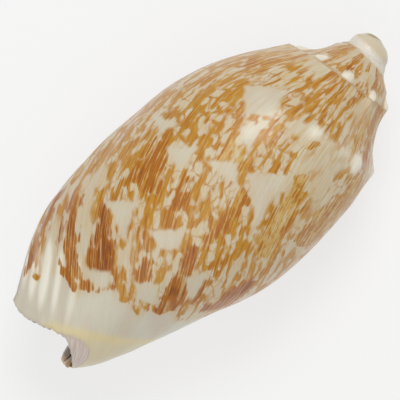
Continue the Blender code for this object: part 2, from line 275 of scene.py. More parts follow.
    def growth_lines(self, turn: np.ndarray, depth: np.ndarray) -> np.ndarray:
        """Height of the raised growth lines beside the lip and of the faint swells behind them."""
        grown = turn - self.sweep(depth)
        total = np.zeros_like(grown)
        for at, height in self.lip_ridges:
            total = total + height * np.exp(-((grown - at) / self.ridge_width) ** 2)
        total = total * smooth(*self.ridge_start, depth) * (1 - smooth(*self.ridge_end, depth))
        fine, bend, slow = self.swell_waves
        swell = np.sin(fine * grown + 2.0 * np.sin(bend * grown)) * np.sin(slow * grown + 1.0)
        total = total - self.band_depth * self.notch_band(turn, depth)
        swell = self.undulation * swell * smooth(*self.swell_start, depth)
        return total + swell * (1 - smooth(*self.swell_end, depth))

    def notch_band(self, turn: np.ndarray, depth: np.ndarray) -> np.ndarray:
        """Share of the sunken band beside the notch."""
        first, last = self.band_turns
        across = depth - curve(self.band_edge, turn)
        return smooth(-self.band_soft, self.band_soft, across) * (turn > first) * (turn < last)

    def pillar(self, depth: np.ndarray) -> np.ndarray:
        """Radius of the columella."""
        return self.pillar_tip + (self.pillar_top - self.pillar_tip) * smooth(*self.pillar_rise, depth)

    def outside(self, turn: np.ndarray, level: np.ndarray,
                ridged: bool = True) -> Tuple[np.ndarray, np.ndarray]:
        """Find the outer face.

        Args:
            turn: Turns back from the lip.
            level: Levels on the profile.
            ridged: Whether the growth lines are raised.

        Returns:
            The radius and the depth of each point.
        """
        turn, level = np.broadcast_arrays(np.asarray(turn, float), np.asarray(level, float))
        size = self.scale(turn)
        straight = size * level - self.origin_rise
        ramp = np.clip((level - self.suture_level) / (self.cover_level - self.suture_level), 0.0, 1.0)
        swell = np.sin(np.pi * ramp)
        slim = 1 - self.slim_share * np.exp(-((turn - self.slim_turn) / self.slim_width) ** 2)
        radius = size * slim * (curve(self.profile, level) - curve(self.ramp_hollow, turn) * swell)
        older = self.tubercles(turn + 1, self.cover_level) * (1 - ramp) ** 3
        radius = radius + self.tubercles(turn, level) + older

        part = (straight - self.dome_from) / (self.dome_to - self.dome_from)
        polar = 0.5 * np.pi * np.clip(part, 0.0, 1.0)
        dome = self.dome_radius * np.sin(polar) + self.dome_whorl * swell
        radius = dome + (radius - dome) * smooth(*self.dome_foot, straight)
        domed = self.dome_top + self.dome_height * (1 - np.cos(polar))
        depth = np.where(straight < self.dome_to, domed, straight)

        tail = smooth(*self.tail, level)
        radius = (1 - tail) * radius + tail * (radius ** 4 + self.pillar(depth) ** 4) ** 0.25
        end = np.clip((depth - self.nose_from) / self.nose_length, 0.0, 1.0)
        nose = 1 - np.sqrt(1 - self.nose_share * end ** self.nose_power)
        radius = radius * (1 - smooth(*self.nose_turns, turn) * nose)
        behind = np.maximum(turn - self.sweep(depth), 0.0) / self.flare_turns
        radius = radius + self.flare * np.exp(-behind ** 2) * smooth(*self.flare_rise, depth)
        return radius + (self.growth_lines(turn, depth) if ridged else 0.0), depth

    def plaits(self, turn: np.ndarray, level: np.ndarray) -> np.ndarray:
        """Height of the columella's oblique folds, which fade out before they leave the mouth."""
        total = np.zeros_like(level)
        for at in self.plait_levels:
            total = total + np.exp(-((level - at) / self.plait_width) ** 2)
        return self.plait_height * total * smooth(*self.plait_turns, turn)

    def inside(self, turn: np.ndarray, depth: np.ndarray) -> np.ndarray:
        """Radius of the wall between the cavity and the whorl before it."""
        level = self.level_of(turn, depth)
        radius = self.outside(turn, level, ridged=False)[0]
        return radius + self.plaits(turn, level) * smooth(*self.plait_start, depth)


@dataclass
class ShellSkin:
    """Fine mesh of the whole skin: outer face, rounded lip, mouth and tip."""

    form: ShellForm = field(default_factory=ShellForm)
    fine_turn: float = 0.2
    fine_columns: int = 72
    plain_columns: int = 208
    ramp_rows: int = 26
    side_rows: int = 130
    rim_rows: int = 5
    lip_step: int = 4
    post_step: int = 2
    tip_rings: int = 5
    outer_rim_rows: int = 2
    bend_rows: int = 12
    bend_length: int = 16
    corner_turns: Span = (0.5, 1.0)
    floor_turn: float = 0.8628
    apex_lift: float = math.radians(1.45)
    turns: List[np.ndarray] = field(default_factory=list)
    radii: List[np.ndarray] = field(default_factory=list)
    depths: List[np.ndarray] = field(default_factory=list)
    faces: List[Sequence[int]] = field(default_factory=list)
    zones: List[int] = field(default_factory=list)
    count: int = 0

    @property
    def per_turn(self) -> int:
        """Columns in one turn."""
        return self.fine_columns + self.plain_columns

    @property
    def rows(self) -> int:
        """Rows of the last whorl from its suture to the anterior edge."""
        return self.ramp_rows + self.side_rows

    def turn_of(self, number: int) -> float:
        """Turn of a column, counted from the lip."""
        whole, rest = divmod(number, self.per_turn)
        fine = min(rest, self.fine_columns) / self.fine_columns
        plain = max(rest - self.fine_columns, 0) / self.plain_columns
        return whole + self.fine_turn * fine + (1 - self.fine_turn) * plain

    def number_of(self, turn: float) -> int:
        """Column nearest to a turn."""
        whole = int(turn)
        rest = turn - whole
        fine = min(rest / self.fine_turn, 1.0) * self.fine_columns
        plain = max((rest - self.fine_turn) / (1 - self.fine_turn), 0.0) * self.plain_columns
        return whole * self.per_turn + round(fine + plain)

    def add(self, turns: np.ndarray, radii: np.ndarray, depths: np.ndarray) -> np.ndarray:
        """Add points and return their numbers."""
        turns, radii, depths = np.broadcast_arrays(np.atleast_1d(turns), radii, depths)
        self.turns.append(turns)
        self.radii.append(radii)
        self.depths.append(depths)
        first = self.count
        self.count += len(turns)
        return np.arange(first, self.count)

    def points(self) -> Tuple[np.ndarray, np.ndarray, np.ndarray]:
        """Turns, radii and depths of all points so far."""
        return np.concatenate(self.turns), np.concatenate(self.radii), np.concatenate(self.depths)

    def face(self, corners: Sequence[int], zone: Zone) -> None:
        """Add one face, leaving out corners that fall together."""
        kept = list(dict.fromkeys(int(corner) for corner in corners))
        if len(kept) > 2:
            self.faces.append(kept)
            self.zones.append(int(zone))

    def strip(self, first: Sequence[int], second: Sequence[int], zone: Zone, step: int = 1) -> None:
        """Join two rows of points.

        Args:
            first: The row with more points.
            second: The row with one point for each step of the first.
            zone: Finish of the faces.
            step: Points of the first row for one of the second.
        """
        for here in range(len(second) - 1):
            run = list(first[here * step:(here + 1) * step + 1])
            self.face(run + [second[here + 1], second[here]], zone)

    def run_back(self, turn: float) -> float:
        """Share of a growth line's sweep that a column follows."""
        return 1 - float(smooth(0.0, self.form.notch_end, turn))

    def anterior_edge(self, turn: float) -> float:
        """Depth of the slightly ragged anterior edge at a column."""
        form = self.form
        at = turn + form.lip_sweep * self.run_back(turn)
        fine, slow, finest = form.ragged_waves
        rough = math.sin(fine * at) * math.sin(slow * at + 0.6) + 0.5 * math.sin(finest * at)
        return float(curve(form.margin, at)) + form.ragged * rough * float(smooth(*form.ragged_end, turn))

    def outer_columns(self) -> Dict[int, np.ndarray]:
        """Lay out the outer face as columns of points, each from its suture down."""
        form = self.form
        ramp = np.linspace(0.0, 1.0, self.ramp_rows + 1)
        columns: Dict[int, np.ndarray] = {}
        for number in range(self.number_of(form.apex_turn), -1, -1):
            turn = self.turn_of(number)
            levels = form.suture_level + (form.cover_level - form.suture_level) * ramp
            older = columns.get(number + self.per_turn)
            if older is not None:
                levels = levels[1:]
            radii, depths = form.outside(turn, levels)
            column = self.add(turn, radii, depths)
            if older is not None:
                column = np.concatenate([older[self.ramp_rows:self.ramp_rows + 1], column])
            if number <= self.per_turn:
                column = np.concatenate([column, self.side_points(turn)])
            columns[number] = column
        return columns

    def side_points(self, turn: float) -> np.ndarray:
        """Points of one column from the shoulder down to the anterior edge."""
        form = self.form
        top = form.scale(turn) * form.cover_level - form.origin_rise
        end = self.anterior_edge(turn)
        depths = top + (end - top) * self.side_shares(turn, top)
        swept = turn + form.sweep(depths) * self.run_back(turn)
        radii = form.outside(swept, form.level_of(swept, depths))[0]
        return self.add(swept, radii, depths)

    def side_shares(self, turn: float, top: float) -> np.ndarray:
        """Shares of the side's height; the first rows of the last column are the lip's corner."""
        form = self.form
        row = np.arange(1, self.side_rows + 1)
        corner_rows = self.rim_rows + 1
        corner = (form.scale(turn) * form.posterior_level - form.origin_rise - top) / (form.edge_depth - top)
        below = corner + (1 - corner) * (row - corner_rows) / (self.side_rows - corner_rows)
        late = np.where(row < corner_rows, corner * row / corner_rows, below)
        even = row / self.side_rows
        return even + (late - even) * float(smooth(*self.corner_turns, turn))

    def cavity_column(self, number: int, lead: np.ndarray) -> Tuple[np.ndarray, np.ndarray]:
        """Find the points of the mouth at one column.

        Args:
            number: Column, counted from the lip.
            lead: The outer column one turn back, which the mouth's wall goes on from.

        Returns:
            The lip side from its edge up, and the columella side from its top down.
        """
        form = self.form
        turn = self.turn_of(number)
        top = float(form.scale(turn + 1) * form.posterior_level - form.origin_rise)
        floor = float(curve(form.cavity_floor, turn))
        closed = turn > form.notch_end
        end = floor if closed else self.anterior_edge(turn)
        edge = float(form.outside(turn, form.level_of(turn, min(end, form.edge_read)))[0])
        shut = float(smooth(form.notch_end - form.closing, form.notch_end, turn)
                     * (1 - smooth(form.notch_end, form.notch_end + form.closing, turn)))
        post = float(form.inside(turn + 1, floor))
        thick = form.wall * (1 - (1 - form.thin_edge) * shut)
        foot = post + max(edge - thick - form.clear - post, 0.0) * shut

        shares = np.arange(self.rows, 0, -1) / self.rows
        depths = top + (end - top) * shares
        swept = turn + form.sweep(depths) * self.run_back(turn)
        outer = form.outside(swept, form.level_of(swept, depths), ridged=False)[0]
        inner = form.inside(swept + 1, depths)
        opening = np.sin(0.5 * np.pi * np.minimum(shares / form.corner_share, 1.0))
        wall = form.wall + (thick - form.wall) * smooth(*form.thin_shares, shares)
        radii = inner + np.maximum(outer - wall - inner, form.clear) * opening
        if closed:
            near = np.clip((shares - form.round_from) / (1 - form.round_from), 0.0, 1.0)
            radii = foot + (radii - foot) * np.sqrt(1 - near * near)
        chosen = slice(0, None) if number == 0 else slice(0, None, self.lip_step)
        lips = (swept[chosen], radii[chosen], depths[chosen])

        if number == 0:
            posts = lead[self.ramp_rows + self.rim_rows + 1:]
        else:
            count = (self.side_rows - self.rim_rows - 1) // self.post_step
            share = np.linspace(0.0, 1.0, count + 1)
            depth = top + (floor - top) * share
            radius = form.inside(turn + 1, depth)
            if shut > 0:
                radius = radius + (foot - radius) * smooth(form.round_from, 1.0, share)
            posts = self.add(turn + 1, radius, depth)
        if closed:
            low = self.add(*(part[1:] for part in lips))
            return np.concatenate([posts[-1:], low]), posts
        return self.add(*lips), posts

    def build(self) -> None:
        """Lay out every face of the skin."""
        form = self.form
        columns = self.outer_columns()
        last_column = self.number_of(form.apex_turn)
        for number in range(last_column):
            here, there = columns[number], columns[number + 1]
            length = min(len(here), len(there))
            self.strip(here[:length], there[:length], Zone.OUTSIDE)

        summit = self.add(0.0, 0.0, form.dome_top)[0]
        ring = [columns[number][0] for number in range(last_column - self.per_turn, last_column + 1)]
        ring += list(columns[last_column][1:self.ramp_rows + 1])
        for here in range(len(ring) - 1):
            self.face([summit, ring[here], ring[here + 1]], Zone.OUTSIDE)

        notch = self.number_of(form.notch_end)
        last = self.number_of(form.cavity_turns)
        lead = columns[self.per_turn]
        lips: Dict[int, np.ndarray] = {}
        posts: Dict[int, np.ndarray] = {}
        for number in range(last + 1):
            lips[number], posts[number] = self.cavity_column(number, lead)
        pinch = columns[notch][self.rows]
        lips[notch][0] = pinch
        posts[notch][-1] = pinch
        first, second = (np.append(lips[number], posts[number][0]) for number in (0, 1))
        self.strip(first, second, Zone.MOUTH, self.lip_step)
        self.strip(posts[0], posts[1], Zone.MOUTH, self.post_step)
        for number in range(1, last):
            here, there = (np.concatenate([lips[at], posts[at]]) for at in (number, number + 1))
            self.strip(here, there, Zone.MOUTH)
        self.face(np.concatenate([lips[last], posts[last]]), Zone.MOUTH)

        edge = list(columns[0]) + [columns[number][self.rows] for number in range(1, notch + 1)]
        inner = [posts[0][0]] + list(lips[0][::-1]) + [lips[number][0] for number in range(1, notch + 1)]
        self.rim(edge, inner, lead)
        self.tip([posts[number][-1] for number in range(notch)]
                 + [columns[number][self.rows] for number in range(notch, self.per_turn)])

    def rim(self, edge: List[int], inner: List[int], lead: np.ndarray) -> None:
        """Round the lip's edge from its outer corner to its inner one."""
        before = list(edge)
        turns, radii, depths = self.points()
        for row in range(1, self.rim_rows + 1):
            share = row / (self.rim_rows + 1)
            proud = self.form.edge_proud * math.sin(math.pi * share) ** self.form.proud_power
            now = [int(lead[self.ramp_rows + row])]
            for here in range(1, len(edge)):
                first, second = edge[here], inner[here]
                if first == second:
                    now.append(int(first))
                    continue
                down = min(1.0, max(0.0, (here - self.rows + self.bend_rows) / self.bend_length))
                radius = radii[first] + (radii[second] - radii[first]) * share
                turn = turns[first] + (turns[second] - turns[first]) * share
                turn -= (1 - down) * proud / (2 * math.pi * radius)
                depth = depths[first] + (depths[second] - depths[first]) * share + down * proud
                now.append(int(self.add(turn, radius, depth)[0]))
            self.strip(before, now, Zone.MOUTH if row > self.outer_rim_rows else Zone.OUTSIDE)
            before = now
        self.strip(before, inner, Zone.MOUTH)

    def tip(self, foot: List[int]) -> None:
        """Round off the anterior end of the columella."""
        form = self.form
        turns, radii, depths = (part[foot] for part in self.points())
        before = foot + foot[:1]
        for ring in range(1, self.tip_rings):
            share = ring / self.tip_rings
            depth = depths + (form.tip_depth - depths) * math.sin(0.5 * math.pi * share)
            now = list(self.add(turns, radii * (1 - share), depth))
            now += now[:1]
            self.strip(before, now, Zone.OUTSIDE)
            before = now
        pole = self.add(0.0, 0.0, form.tip_depth)[0]
        for here in range(len(before) - 1):
            self.face([pole, before[here], before[here + 1]], Zone.OUTSIDE)

    def lay_down(self) -> Matrix:
        """Turn from the upright frame to the shell lying on its mouth, apex toward +X."""
        face_floor = Matrix.Rotation(-2 * math.pi * self.floor_turn, 4, "Z")
        tip_over = Matrix.Rotation(math.radians(90.0) - self.apex_lift, 4, "Y")
        return tip_over @ face_floor

    def placed(self, box: Tuple[Vector, Vector]) -> Tuple[np.ndarray, Matrix]:
        """Place every point inside the box of the solid.

        Args:
            box: Lowest and highest corner of the solid, in metres.

        Returns:
            The points in metres, and the turn and shift from the upright shell to the floor.
        """
        turns, radii, depths = self.points()
        angle = 2 * np.pi * turns
        lean = self.form.lean * (1 - smooth(*self.form.lean_fade, depths))
        toward = 2 * np.pi * self.form.lean_turn
        x = radii * np.cos(angle) + lean * np.cos(toward)
        y = radii * np.sin(angle) + lean * np.sin(toward)
        upright = MM * np.stack([x, y, -depths], 1)
        turned = upright @ np.array(self.lay_down().to_3x3()).T
        low, high = turned.min(0), turned.max(0)
        middle = [(box[0][axis] + box[1][axis] - low[axis] - high[axis]) / 2 for axis in (0, 1)]
        shift = Vector((middle[0], middle[1], box[1][2] - high[2]))
        return turned + np.array(shift), Matrix.Translation(shift) @ self.lay_down()


@dataclass(frozen=True)
class Patch:
    """One listed brown patch that runs along the growth lines.

    It goes from one place, width and level down to another. Places are turns at the suture, widths are
    millimetres round the shell at the lip's size; dark and pale say how its brown differs from the usual one.
    """

    top: Triple
    foot: Triple
    dark: float = 0.5
    pale: float = 0.0

    def measure(self, around: np.ndarray, level: np.ndarray, length: float, shift: float) -> np.ndarray:
        """Distance to the patch's edge, above 0 inside it; the patch is a little wider than given."""
        start, high, wide = self.top
        stop, low, broad = self.foot
        share = np.clip((level - high) / (low - high), 0.0, 1.0)
        middle = length * (start + (stop - start) * share + shift)
        half = 0.5 * (wide + (broad - wide) * share)
        ends = np.minimum(level - high, low - level)
        reach = (half * 1.15 + 0.8) * smooth(-1.5, 1.5, ends) - 0.8
        return reach - np.abs(around - middle) + np.minimum(ends + 1.0, 0.0)


@dataclass(frozen=True)
class Tent:
    """One white shape of the net, given by its corners as turns at the suture and levels."""

    corners: Curve

    def measure(self, around: np.ndarray, level: np.ndarray, length: float, shift: float) -> np.ndarray:
        """Signed distance to the shape's edge, below 0 inside it."""
        points = np.array([(length * (turn + shift), at) for turn, at in self.corners])
        middle = points.mean(0)
        sides = []
        for start, end in zip(points, np.roll(points, -1, axis=0)):
            way = end - start
            normal = np.array([way[1], -way[0]]) / np.hypot(*way)
            normal = normal * np.sign(np.dot(start - middle, normal))
            sides.append((around - start[0]) * normal[0] + (level - start[1]) * normal[1])
        return np.max(sides, axis=0)


@dataclass(frozen=True)
class Haze:
    """A soft round place where the net or the tan wash is stronger or weaker."""

    turn: float
    level: float
    across: float
    along: float
    strength: float

    def measure(self, around: np.ndarray, level: np.ndarray, length: float, shift: float) -> np.ndarray:
        """Strength at each point."""
        sideways = (around - length * (self.turn + shift)) / self.across
        return self.strength * np.exp(-sideways ** 2 - ((level - self.level) / self.along) ** 2)


@dataclass
class Markings:
    """Plan of the shell's markings, as fields that the finish reads."""

    round_length: float = 182.0
    repeats: Tuple[float, ...] = (0.0, 0.47)
    patches: Tuple[Patch, ...] = (
        Patch((0.173, 83.0, 1.4), (0.175, 101.5, 8.4), 0.95),
        Patch((0.198, 98.0, 1.2), (0.201, 107.0, 1.6), 0.8),
        Patch((0.110, 83.5, 2.6), (0.120, 108.0, 6.4), 0.7, 0.2),
        Patch((0.101, 87.0, 0.8), (0.090, 99.0, 2.4), 0.95),
        Patch((0.062, 82.0, 2.0), (0.034, 98.0, 3.6), 0.85),
        Patch((0.034, 96.0, 3.2), (0.012, 107.5, 2.4), 0.75),
        Patch((0.222, 58.5, 2.6), (0.222, 77.0, 10.5), 0.55),
        Patch((0.192, 69.0, 1.8), (0.184, 85.5, 2.0), 0.35),
        Patch((0.282, 66.5, 1.8), (0.280, 77.0, 3.6), 0.65),
        Patch((0.274, 75.5, 0.6), (0.268, 83.5, 5.0), 0.5),
        Patch((0.245, 85.5, 0.6), (0.248, 99.0, 5.2), 0.6),
        Patch((0.315, 82.5, 1.6), (0.306, 104.0, 7.4), 0.75),
        Patch((0.236, 103.0, 3.0), (0.246, 110.0, 2.0), 0.5),
        Patch((0.292, 103.0, 3.0), (0.298, 107.5, 4.4), 0.8),
        Patch((0.366, 60.0, 2.0), (0.349, 74.0, 4.6), 0.5, 0.3),
        Patch((0.349, 73.0, 4.4), (0.329, 82.0, 1.8), 0.5, 0.3),
        Patch((0.321, 52.5, 0.8), (0.322, 60.5, 8.0), 0.2, 0.75),
        Patch((0.432, 50.0, 2.6), (0.428, 76.0, 9.5), 0.1, 0.9),
        Patch((0.412, 58.0, 0.9), (0.404, 77.0, 1.3), 0.3, 0.2),
        Patch((0.450, 53.0, 0.9), (0.452, 82.0, 1.4), 0.4, 0.1),
        Patch((0.560, 42.0, 10.0), (0.492, 68.0, 10.0), 0.3, 0.6),
        Patch((0.436, 83.0, 2.0), (0.408, 98.5, 9.5), 0.9),
        Patch((0.353, 84.0, 1.0), (0.342, 99.5, 2.8), 0.7, 0.1),
        Patch((0.341, 21.0, 5.0), (0.341, 26.5, 2.4), 0.6, 0.2),
        Patch((0.436, 21.0, 5.4), (0.436, 26.0, 2.0), 0.6, 0.2),
        Patch((0.546, 21.0, 7.0), (0.540, 39.0, 6.0), 0.5, 0.4),
        Patch((0.505, 21.0, 2.0), (0.490, 37.0, 3.5), 0.1, 0.9),
        Patch((0.250, 21.0, 3.0), (0.215, 35.0, 5.0), 0.35, 0.3),
        Patch((0.190, 26.0, 2.0), (0.175, 41.0, 4.0), 0.3, 0.3),
        Patch((0.128, 103.5, 3.0), (0.128, 106.5, 3.4), 0.5),
        Patch((0.153, 104.0, 5.0), (0.154, 107.5, 6.0), 0.6),
        Patch((0.188, 103.5, 3.0), (0.190, 108.0, 3.6), 0.55),
        Patch((0.430, 85.0, 3.0), (0.380, 101.0, 5.0), 0.9),
        Patch((0.414, 40.5, 0.8), (0.377, 55.3, 0.9), 0.3, 0.2),
        Patch((0.367, 71.2, 0.9), (0.359, 84.1, 1.0), 0.4, 0.1),
        Patch((0.395, 20.0, 2.6), (0.384, 33.0, 2.4), 0.35, 0.4),
    )
    spire_repeats: Tuple[float, ...] = (0.0, 0.39, 0.80, 1.22, 1.6)
    spire_patches: Tuple[Patch, ...] = (
        Patch((1.240, 20.0, 14.0), (1.262, 33.5, 9.0), 0.3, 0.55),
        Patch((1.335, 20.0, 3.0), (1.352, 34.0, 4.6), 0.6, 0.1),
        Patch((1.410, 20.0, 1.2), (1.415, 30.0, 2.0), 0.2, 0.5),
        Patch((1.470, 20.0, 3.2), (1.480, 36.0, 5.0), 0.6, 0.2),
        Patch((1.535, 20.0, 4.0), (1.545, 34.0, 3.0), 0.3, 0.5),
        Patch((1.150, 20.0, 4.0), (1.150, 30.0, 5.0), 0.4, 0.4),
    )
    tents: Tuple[Tent, ...] = (
        Tent(((0.227, 64.5), (0.276, 60.0), (0.267, 68.5))),
        Tent(((0.172, 84.0), (0.223, 80.0), (0.213, 91.5))),
        Tent(((0.200, 92.0), (0.218, 95.0), (0.227, 101.0))),
        Tent(((0.351, 58.5), (0.409, 52.0), (0.398, 70.0))),
        Tent(((0.283, 62.5), (0.334, 57.5), (0.348, 63.0))),
        Tent(((0.243, 85.5), (0.298, 80.0), (0.296, 86.0), (0.268, 88.5))),
        Tent(((0.139, 102.0), (0.194, 99.5), (0.193, 104.0), (0.165, 105.0))),
        Tent(((0.232, 99.5), (0.279, 97.0), (0.281, 104.0), (0.245, 104.0))),
        Tent(((0.312, 92.0), (0.350, 87.5), (0.343, 98.5))),
        Tent(((0.306, 49.5), (0.334, 45.0), (0.343, 55.0))),
        Tent(((0.262, 40.0), (0.313, 33.5), (0.338, 42.5), (0.300, 46.0))),
        Tent(((0.167, 58.5), (0.231, 57.5), (0.209, 62.0))),
    )
    hazes: Tuple[Haze, ...] = (
        Haze(0.285, 54.0, 10.0, 8.0, 0.5),
        Haze(0.240, 50.0, 8.0, 6.0, 0.3),
        Haze(0.115, 75.0, 6.0, 9.0, 0.5),
        Haze(0.150, 84.0, 12.0, 14.0, -0.3),
        Haze(0.300, 71.0, 9.0, 8.0, 0.35),
        Haze(0.230, 72.0, 7.0, 9.0, 0.3),
        Haze(0.350, 32.0, 9.0, 6.0, 0.5),
        Haze(0.210, 42.0, 10.0, 7.0, 0.4),
        Haze(0.375, 47.0, 7.0, 5.0, 0.3),
        Haze(0.160, 66.0, 5.0, 8.0, 0.3),
        Haze(0.135, 90.0, 2.0, 16.0, -0.8),
        Haze(0.080, 103.0, 6.0, 12.0, -0.8),
        Haze(0.400, 40.0, 9.0, 4.0, -0.4),
        Haze(0.420, 90.0, 8.0, 6.0, -0.3),
        Haze(0.450, 60.0, 12.0, 20.0, -0.45),
    )
    washes: Tuple[Haze, ...] = (
        Haze(0.450, 62.0, 15.0, 20.0, 0.8),
        Haze(0.520, 48.0, 14.0, 18.0, 0.7),
        Haze(0.285, 54.0, 12.0, 10.0, 0.5),
        Haze(0.365, 68.0, 7.0, 10.0, 0.35),
        Haze(0.250, 72.0, 9.0, 12.0, 0.3),
        Haze(0.300, 42.0, 12.0, 7.0, 0.3),
        Haze(0.160, 60.0, 9.0, 14.0, 0.3),
    )
    plain_dark: float = 0.35
    plain_pale: float = 0.12
    patch_blend: Span = (-1.6, 0.3)
    patch_far: float = -6.0
    patch_deep: float = 3.0
    tent_far: float = 4.0
    tent_blend: Span = (-2.5, 1.5)
    net_cover: float = 0.27
    pattern_end: float = 107.0
    end_waves: Tuple[Triple, ...] = ((1.5, 0.31, 0.0), (0.9, 0.83, 1.0))
    end_blur: float = 1.5
    spire_turns: Span = (1.0, 1.08)
    ramp_levels: Span = (26.0, 36.0)
    dome_depths: Span = (3.6, 4.6)
    seam_depths: Span = (1.6, 3.0)
    keel_height: float = 0.4
    keel_width: float = 1.8
    keel_turns: Span = (0.3, 0.5)
    knob_height: float = 0.45
    lip_turns: Span = (0.012, 0.002)
    lip_levels: Span = (94.0, 102.0)
    fasciole_level: float = 118.8
    fasciole_width: float = 1.5
    fasciole_turns: Span = (0.255, 0.29)
    fasciole_below: float = 0.55

    def measured(self, marks: Sequence[object], around: np.ndarray,
                 level: np.ndarray) -> Iterator[np.ndarray]:
        """Measure each mark at each of its places round the shell."""
        for mark in marks:
            for shift in self.repeats:
                yield mark.measure(around, level, self.round_length, shift)

    def patched(self, around: np.ndarray, level: np.ndarray) -> Tuple[np.ndarray, np.ndarray, np.ndarray]:
        """Find how deep each point is inside the patches, and how dark and how pale its brown is."""
        placed = [(patch, shift) for patch in self.patches for shift in self.repeats]
        placed += [(patch, shift) for patch in self.spire_patches for shift in self.spire_repeats]
        deepest = np.full_like(around, self.patch_far)
        dark = np.full_like(around, self.plain_dark)
        pale = np.full_like(around, self.plain_pale)
        for patch, shift in placed:
            inside = patch.measure(around, level, self.round_length, shift)
            deepest = np.maximum(deepest, inside)
            near = smooth(*self.patch_blend, inside)
            dark = dark + (patch.dark - dark) * near
            pale = pale + (patch.pale - pale) * near
        return np.clip(deepest, self.patch_far, self.patch_deep), dark, pale

    def fields(self, turn: np.ndarray, level: np.ndarray, depth: np.ndarray,
               form: ShellForm) -> Dict[str, np.ndarray]:
        """Work out the fields that the finish reads.

        Args:
            turn: Turns back from the lip.
            level: Levels on the profile.
            depth: Depths below the apex.
            form: Shape of the shell.

        Returns:
            Values at each point under the names of the attributes.
        """
        around = self.round_length * form.grown(turn, level)
        patch, dark, pale = self.patched(around, level)
        tent = np.full_like(around, self.tent_far)
        for distance in self.measured(self.tents, around, level):
            tent = np.minimum(tent, distance)
        net = np.full_like(around, self.net_cover)
        for amount in self.measured(self.hazes, around, level):
            net = net + amount
        wash = np.zeros_like(around)
        for amount in self.measured(self.washes, around, level):
            wash = np.maximum(wash, amount)

        end = np.full_like(around, self.pattern_end)
        for height, pitch, start in self.end_waves:
            end = end + height * np.sin(pitch * around + start)
        ended = smooth(-self.end_blur, self.end_blur, level - end)
        spire = smooth(*self.spire_turns, turn)
        ramp = 1 - smooth(*self.ramp_levels, level)
        dome = 1 - smooth(*self.dome_depths, depth)
        open_wash = (1 - ended) * (1 - dome) * (0.3 + 0.7 * smooth(*self.tent_blend, tent))
        # Painted sheen: a pale line along the body whorl's shoulder keel, added to the knob field.
        keel_sheen = self.keel_height * np.exp(-((level - form.cover_level) / self.keel_width) ** 2)
        keel_sheen = keel_sheen * smooth(*self.keel_turns, turn) * (turn < 1)
        # Painted shade: the lip field lays a grey strip along the lip's edge.
        lip = smooth(*self.lip_turns, turn - form.sweep(depth)) * smooth(*self.lip_levels, level)
        track = level - self.fasciole_level
        fasciole = np.exp(-(track / self.fasciole_width) ** 2) + self.fasciole_below * smooth(0.0, 2.0, track)
        return {
            "patch": patch + self.patch_far * ended + self.patch_far * dome,
            "dark": dark,
            "pale": pale,
            "tent": tent,
            "net": net - 2.0 * ended - 2.0 * dome - 0.15 * spire - 0.3 * ramp,
            "wash": np.maximum(wash, 0.6 + 0.1 * np.maximum(spire, ramp)) * open_wash,
            # Knob field: pale tubercles, partly their own white and partly painted highlight, plus the
            # painted keel sheen.
            "knob_white_and_sheen": np.clip(form.tubercles(turn, level) / self.knob_height - 0.1, 0.0, 1.0) + keel_sheen,
            "lip": lip,
            "seam": dome * smooth(*self.seam_depths, depth),
            "dome": dome,
            "fasciole": np.minimum(fasciole, 1.0) * smooth(*self.fasciole_turns, turn),
            "blush": form.notch_band(turn, depth),
        }


class Net:
    """Short hand for laying out shader nodes."""

    def __init__(self, tree: bpy.types.NodeTree) -> None:
        """Start on a node tree."""
        self.tree = tree

    def node(self, kind: str, inputs: Dict[object, object], **settings: object) -> bpy.types.Node:
        """Add a node.

        Args:
            kind: Blender's name of the node type.
            inputs: Values or sockets by input name or number.
            settings: Properties of the node.

        Returns:
            The new node.
        """
        made = self.tree.nodes.new(kind)
        for name, value in settings.items():
            setattr(made, name, value)
        for name, value in inputs.items():
            if isinstance(value, bpy.types.NodeSocket):
                self.tree.links.new(value, made.inputs[name])
            else:
                made.inputs[name].default_value = value
        return made

    def math(self, operation: str, first: object, second: object = 0.0, third: object = 0.0) -> Socket:
        """Add a Math node and return its result."""
        return self.node("ShaderNodeMath", {0: first, 1: second, 2: third}, operation=operation).outputs[0]

    def times(self, first: object, second: object) -> Socket:
        """Multiply two values."""
        return self.math("MULTIPLY", first, second)

    def plus(self, first: object, second: object) -> Socket:
        """Add two values."""
        return self.math("ADD", first, second)

    def fit(self, value: object, factor: float, shift: object) -> Socket:
        """Scale a value and shift it."""
        return self.math("MULTIPLY_ADD", value, factor, shift)

    def ramp(self, value: object, start: float, end: float, low: object = 0.0, high: object = 1.0) -> Socket:
        """Rise smoothly from low to high as a value goes from start to end."""
        inputs = {"Value": value, "From Min": start, "From Max": end, "To Min": low, "To Max": high}
        return self.node("ShaderNodeMapRange", inputs, interpolation_type="SMOOTHSTEP").outputs["Result"]

    def mix(self, share: object, first: object, second: object) -> Socket:
        """Mix two colours."""
        return self.node("ShaderNodeMix", {0: share, 6: first, 7: second}, data_type="RGBA").outputs[2]

    def stretch(self, vector: Socket, factors: Triple, shift: Triple = (0.0, 0.0, 0.0)) -> Socket:
        """Scale a vector by one factor for each axis, and shift it."""
        inputs = {0: vector, 1: factors, 2: shift}
        return self.node("ShaderNodeVectorMath", inputs, operation="MULTIPLY_ADD").outputs[0]

    def noise(self, vector: Socket, detail: float = 2.0, rough: float = 0.5) -> bpy.types.Node:
        """Add a noise of unit scale."""
        inputs = {"Vector": vector, "Scale": 1.0, "Detail": detail, "Roughness": rough}
        return self.node("ShaderNodeTexNoise", inputs)

    def cloud(self, vector: Socket, factors: Triple, shift: Triple = (0.0, 0.0, 0.0), detail: float = 2.0,
              rough: float = 0.5) -> Socket:
        """Read a noise along a stretched vector, shifted so that two clouds of one shape differ."""
        return self.noise(self.stretch(vector, factors, shift), detail, rough).outputs["Fac"]

    def field(self, name: str, output: str = "Fac") -> Socket:
        """Read one of the skin's fields."""
        return self.node("ShaderNodeAttribute", {}, attribute_name=name).outputs[output]


